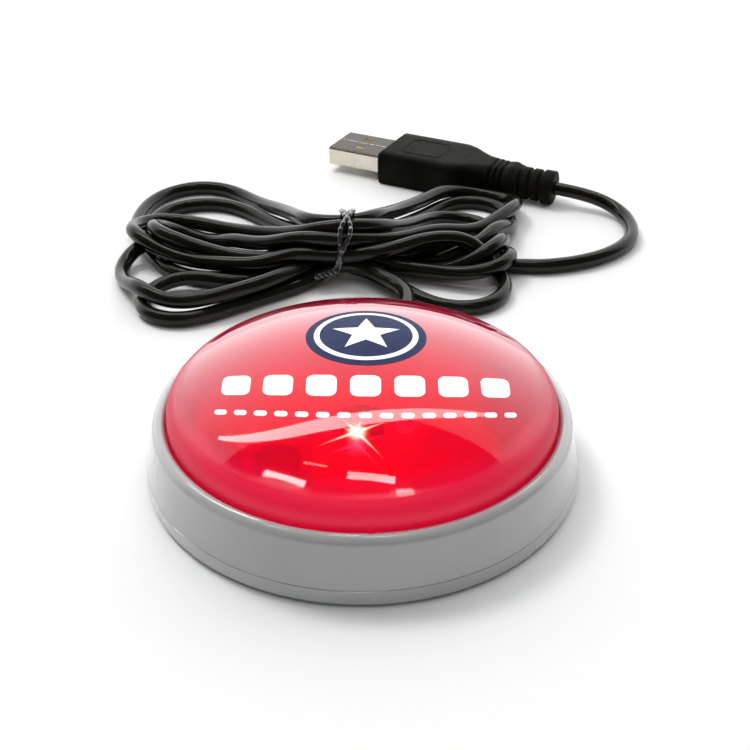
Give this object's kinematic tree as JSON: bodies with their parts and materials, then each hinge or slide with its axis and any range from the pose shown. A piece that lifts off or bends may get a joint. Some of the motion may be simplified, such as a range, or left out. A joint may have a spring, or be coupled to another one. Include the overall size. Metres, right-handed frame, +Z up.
{
  "type": "quiz buzzer",
  "caption": "Round table-top quiz buzzer with a sprung translucent red dome over a tact switch, a grey base, and a tied USB cord.",
  "frame": {"origin": "centre of the round base on the surface that its feet stand on", "axes": "+Z up through the dome, +Y towards the back where the cord leaves, +X to the right"},
  "size_m": [0.115, 0.1699, 0.0223],
  "materials": {
    "base_grey": "moulded ABS, glossy, light grey",
    "dome_red": "polished translucent red moulding",
    "inner_white": "moulded, satin",
    "screw_steel": "zinc plated",
    "spring_steel": "bright drawn wire",
    "foot_rubber": "matt",
    "board_green": "solder mask over glass laminate",
    "switch_black": "moulded",
    "switch_cap": "moulded",
    "tinned_metal": "tinned",
    "led_lens": "water-clear epoxy",
    "chip_black": "moulded epoxy",
    "crystal_can": "drawn can",
    "capacitor_tan": "ceramic",
    "gland_black": "flexible moulding",
    "cord_black": "extruded PVC jacket, glossy",
    "tie_black": "plastic coated wire",
    "plug_nickel": "nickel plated sheet",
    "insulator_white": "moulded",
    "contact_gold": "gold flashed",
    "overmould_black": "satin PVC overmould",
    "wire_red": "insulation",
    "wire_white": "insulation",
    "wire_green": "insulation",
    "wire_black": "insulation"
  },
  "bodies": {
    "root": {"bottom_cover": "base_grey", "housing_ring": "base_grey", "housing_screws": "screw_steel", "plate_screws": "screw_steel", "board_screws": "screw_steel", "rubber_feet": "foot_rubber", "reflector_plate": "inner_white", "return_spring_1": "spring_steel", "return_spring_2": "spring_steel", "return_spring_3": "spring_steel", "circuit_board": "board_green", "switch_body": "switch_black", "switch_terminals": "tinned_metal", "led_leads": "tinned_metal", "led_front": "led_lens", "led_right": "led_lens", "led_rear": "led_lens", "led_left": "led_lens", "controller_chip": "chip_black", "crystal": "crystal_can", "resistors": "chip_black", "capacitors": "capacitor_tan", "cable_gland": "gland_black", "cable_jacket_end": "cord_black", "cable_lead": "cord_black", "cable_tail": "cord_black", "cable_hank": "cord_black", "twist_tie": "tie_black", "usb_shell": "plug_nickel", "usb_insulator": "insulator_white", "usb_contacts": "contact_gold", "usb_overmould": "overmould_black", "wire_red": "wire_red", "wire_white": "wire_white", "wire_green": "wire_green", "wire_black": "wire_black"},
    "dome": {"push_dome": "dome_red", "switch_plunger": "inner_white"},
    "switch_button": {"switch_button": "switch_cap"}
  },
  "joints": [
    {"name": "dome_press", "type": "slide", "parent": "root", "child": "dome", "axis": [0, 0, -1], "range_m": [0, 0.0025], "stiffness_N_per_m": 900, "springref_m": -0.002, "deforming": ["return_spring_1", "return_spring_2", "return_spring_3"]},
    {"name": "switch_press", "type": "slide", "parent": "root", "child": "switch_button", "axis": [0, 0, -1], "range_m": [0, 0.00025]}
  ],
  "couplings": [
    {"joint": "switch_press", "follows": "dome_press", "ratio": 0.1}
  ]
}
